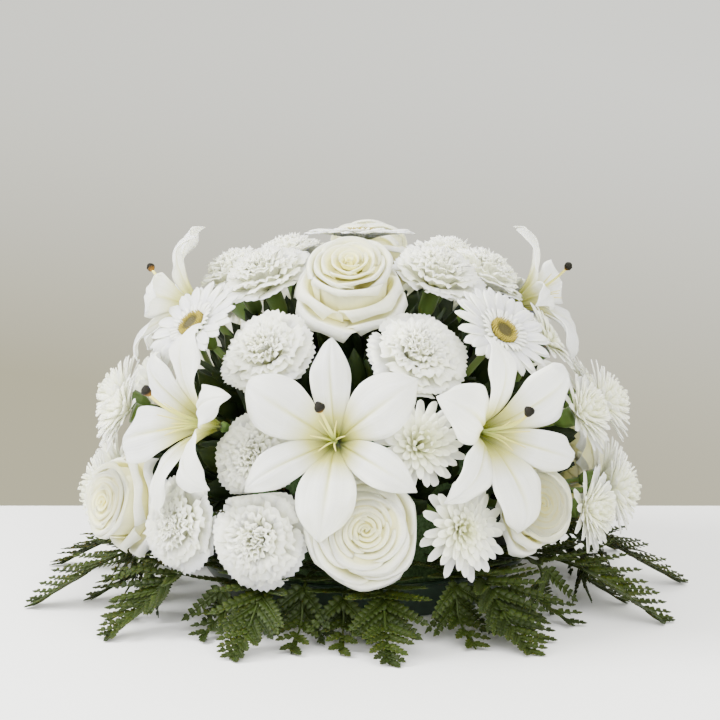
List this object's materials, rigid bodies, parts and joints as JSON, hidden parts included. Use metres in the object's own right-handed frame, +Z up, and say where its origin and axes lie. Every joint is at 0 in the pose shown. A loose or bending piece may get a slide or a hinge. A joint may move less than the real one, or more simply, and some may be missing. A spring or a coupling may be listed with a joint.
{
  "type": "funeral posy",
  "caption": "Low domed funeral posy of white lilies, roses, gerberas, carnations and chrysanthemums in floral foam on a round tray, with a collar of fern fronds.",
  "frame": {"origin": "middle of the flat underside of the tray", "axes": "+Z up, -Y towards the front of the arrangement"},
  "size_m": [0.5829, 0.5511, 0.3179],
  "materials": {
    "lily_petal": "soft satin petal, white with a yellow-green throat",
    "rose_petal": "soft matte petal, creamy white",
    "gerbera_petal": "soft matte petal, white",
    "carnation_petal": "soft matte ruffled petal, white",
    "chrysanthemum_petal": "soft matte petal, white with a greenish heart",
    "pistil": "smooth yellow-green style with a dark stigma",
    "flower_disc": "velvety florets, olive yellow with a darker eye",
    "fern_leaf": "leathery dark green leaf with a soft sheen",
    "floral_foam": "wet green floral foam, matte and finely pitted",
    "tray_plastic": "dark green moulded plastic with a soft gloss"
  },
  "bodies": {
    "root": {"carnation_spray_1": "carnation_petal", "carnation_spray_2": "carnation_petal", "carnation_spray_3": "carnation_petal", "carnation_spray_4": "carnation_petal", "carnation_spray_5": "carnation_petal", "carnation_spray_6": "carnation_petal", "chrysanthemum_spray_1": "chrysanthemum_petal", "chrysanthemum_spray_2": "chrysanthemum_petal", "chrysanthemum_spray_3": "chrysanthemum_petal", "chrysanthemum_spray_4": "chrysanthemum_petal", "chrysanthemum_spray_5": "chrysanthemum_petal", "chrysanthemum_spray_6": "chrysanthemum_petal", "foam": "floral_foam", "frond_1": "fern_leaf", "frond_10": "fern_leaf", "frond_11": "fern_leaf", "frond_12": "fern_leaf", "frond_2": "fern_leaf", "frond_3": "fern_leaf", "frond_4": "fern_leaf", "frond_5": "fern_leaf", "frond_6": "fern_leaf", "frond_7": "fern_leaf", "frond_8": "fern_leaf", "frond_9": "fern_leaf", "gerbera_1": "gerbera_petal", "gerbera_2": "gerbera_petal", "gerbera_3": "gerbera_petal", "gerbera_4": "gerbera_petal", "gerbera_5": "gerbera_petal", "gerbera_disc_1": "flower_disc", "gerbera_disc_2": "flower_disc", "gerbera_disc_3": "flower_disc", "gerbera_disc_4": "flower_disc", "gerbera_disc_5": "flower_disc", "lily_1": "lily_petal", "lily_2": "lily_petal", "lily_3": "lily_petal", "lily_4": "lily_petal", "lily_5": "lily_petal", "lily_6": "lily_petal", "lily_7": "lily_petal", "lily_8": "lily_petal", "lily_pistil_1": "pistil", "lily_pistil_2": "pistil", "lily_pistil_3": "pistil", "lily_pistil_4": "pistil", "lily_pistil_5": "pistil", "lily_pistil_6": "pistil", "lily_pistil_7": "pistil", "lily_pistil_8": "pistil", "rose_1": "rose_petal", "rose_2": "rose_petal", "rose_3": "rose_petal", "rose_4": "rose_petal", "rose_5": "rose_petal", "rose_6": "rose_petal", "rose_7": "rose_petal", "rose_8": "rose_petal", "tray": "tray_plastic"}
  },
  "joints": []
}
